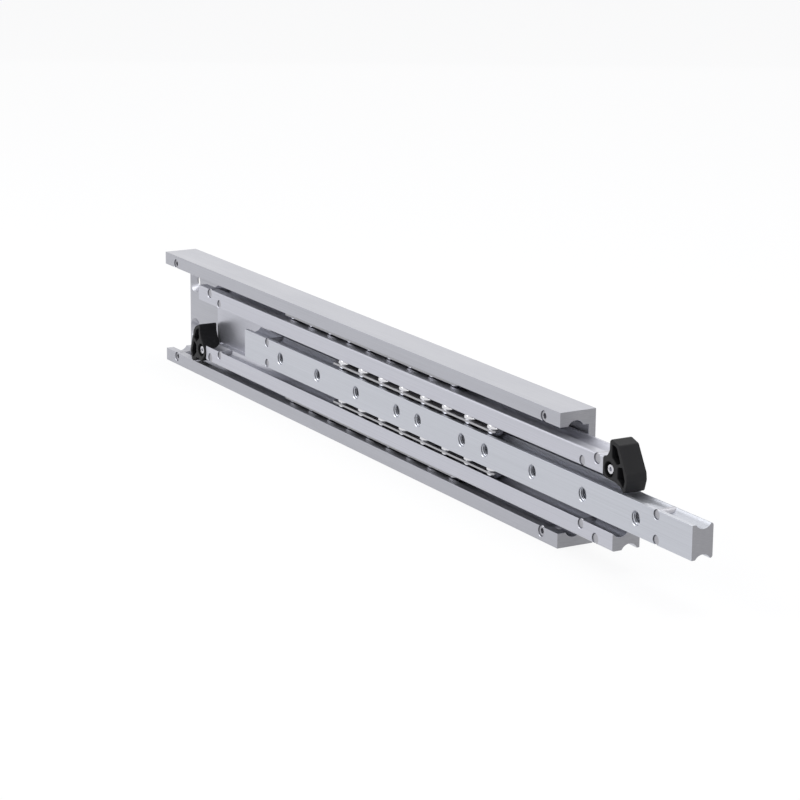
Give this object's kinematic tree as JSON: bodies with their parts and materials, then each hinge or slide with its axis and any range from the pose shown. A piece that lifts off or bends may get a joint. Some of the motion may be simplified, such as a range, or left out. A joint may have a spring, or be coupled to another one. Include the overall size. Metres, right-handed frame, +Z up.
{
  "type": "telescopic ball rail",
  "caption": "Heavy telescopic ball rail that opens both ways: an outer channel, a middle channel and a tapped inner bar on caged balls, with a hold lever at each end of the middle channel.",
  "frame": {"origin": "centre of the outer rail's back mounting face", "axes": "+X along the rail, the way that it stands drawn out; +Y into the wall behind the rail; +Z up"},
  "size_m": [0.815, 0.0339, 0.1],
  "materials": {
    "outer_steel": "satin ground",
    "middle_steel": "satin ground",
    "inner_steel": "satin ground",
    "cage_strip": "plain rolled strip",
    "ball_steel": "polished",
    "screw_steel": "bright turned",
    "lever_plastic": "moulded, slightly grained"
  },
  "bodies": {
    "outer": {"outer_rail": "outer_steel", "outer_stop_screws": "screw_steel"},
    "middle": {"middle_rail": "middle_steel", "middle_stop_dowels": "screw_steel", "middle_stop_pins": "screw_steel", "lever_screw_right": "screw_steel", "lever_bush_right": "screw_steel", "lever_washer_right": "screw_steel", "lever_screw_left": "screw_steel", "lever_bush_left": "screw_steel", "lever_washer_left": "screw_steel"},
    "inner": {"inner_rail": "inner_steel", "inner_stop_pins": "screw_steel"},
    "right_lever": {"lever_right": "lever_plastic"},
    "left_lever": {"lever_left": "lever_plastic"},
    "outer_top_row": {"outer_cage_top": "cage_strip", "outer_balls_top": "ball_steel"},
    "inner_top_row": {"inner_cage_top": "cage_strip", "inner_balls_top": "ball_steel"},
    "outer_bottom_row": {"outer_cage_bottom": "cage_strip", "outer_balls_bottom": "ball_steel"},
    "inner_bottom_row": {"inner_cage_bottom": "cage_strip", "inner_balls_bottom": "ball_steel"}
  },
  "joints": [
    {"name": "middle_slide", "type": "slide", "parent": "outer", "child": "middle", "axis": [1, 0, 0], "range_m": [-0.0615, 0.255]},
    {"name": "inner_slide", "type": "slide", "parent": "middle", "child": "inner", "axis": [1, 0, 0], "range_m": [-0.0785, 0.23]},
    {"name": "right_lever_pivot", "type": "hinge", "parent": "middle", "child": "right_lever", "pos_m": [0.3898, -0.024, 0.0252], "axis": [0, 1, 0], "range_deg": [-8, 0]},
    {"name": "left_lever_pivot", "type": "hinge", "parent": "middle", "child": "left_lever", "pos_m": [-0.2498, -0.024, -0.0252], "axis": [0, 1, 0], "range_deg": [0, 35]},
    {"name": "outer_top_cage_slide", "type": "slide", "parent": "outer", "child": "outer_top_row", "axis": [1, 0, 0], "range_m": [-0.03075, 0.1275]},
    {"name": "inner_top_cage_slide", "type": "slide", "parent": "middle", "child": "inner_top_row", "axis": [1, 0, 0], "range_m": [-0.03925, 0.115]},
    {"name": "outer_bottom_cage_slide", "type": "slide", "parent": "outer", "child": "outer_bottom_row", "axis": [1, 0, 0], "range_m": [-0.03075, 0.1275]},
    {"name": "inner_bottom_cage_slide", "type": "slide", "parent": "middle", "child": "inner_bottom_row", "axis": [1, 0, 0], "range_m": [-0.03925, 0.115]}
  ],
  "couplings": [
    {"joint": "outer_top_cage_slide", "follows": "middle_slide", "ratio": 0.5},
    {"joint": "inner_top_cage_slide", "follows": "inner_slide", "ratio": 0.5},
    {"joint": "outer_bottom_cage_slide", "follows": "middle_slide", "ratio": 0.5},
    {"joint": "inner_bottom_cage_slide", "follows": "inner_slide", "ratio": 0.5}
  ]
}
